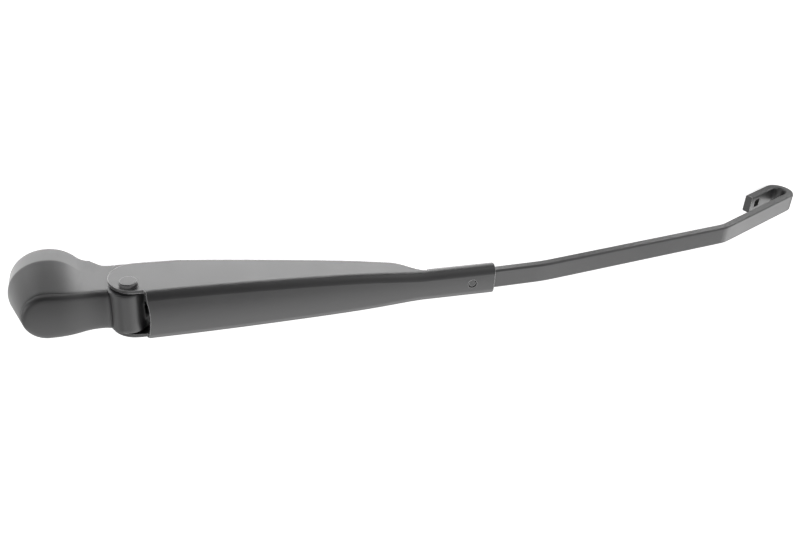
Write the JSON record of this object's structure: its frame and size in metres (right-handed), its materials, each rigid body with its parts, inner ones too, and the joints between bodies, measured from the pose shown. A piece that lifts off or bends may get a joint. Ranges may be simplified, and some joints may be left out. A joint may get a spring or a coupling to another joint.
{
  "type": "windscreen wiper arm",
  "caption": "Black hinged wiper arm with a cast spindle head under a push-on cap, a pressed tapering channel and a flat rod ending in a hook for the blade.",
  "frame": {"origin": "spindle axis at the underside of the head", "axes": "+Z along the spindle, away from the glass; +X along the arm to the hook; +Y across the arm"},
  "size_m": [0.3887, 0.0318, 0.0689],
  "materials": {
    "casting_paint": "satin black powder coat on a zinc die casting",
    "arm_paint": "satin black powder coat on pressed steel",
    "cap_plastic": "fine moulded black plastic",
    "bush_plastic": "smooth moulded dark plastic",
    "spring_steel": "zinc plated steel"
  },
  "bodies": {
    "head": {"head_casting": "casting_paint", "nut_cap": "cap_plastic", "hinge_bush_left": "bush_plastic", "hinge_bush_right": "bush_plastic", "spring_post": "spring_steel"},
    "arm": {"channel": "arm_paint", "rod": "arm_paint", "hinge_rivet": "arm_paint", "nose_rivet": "arm_paint", "tension_spring": "spring_steel"},
    "link": {"spring_link": "spring_steel"}
  },
  "joints": [
    {"name": "arm_hinge", "type": "hinge", "parent": "head", "child": "arm", "pos_m": [0.0319, 0, 0.0254], "axis": [0, -1, 0], "range_deg": [0, 70], "stiffness_Nm_per_rad": 0.15, "springref_deg": -114.59},
    {"name": "link_slide", "type": "slide", "parent": "arm", "child": "link", "axis": [-0.9986, 0, -0.0523], "range_m": [0, 0.0131], "deforming": ["tension_spring"]}
  ],
  "couplings": [
    {"joint": "link_slide", "follows": "arm_hinge", "m_per_rad": 0.010638}
  ]
}
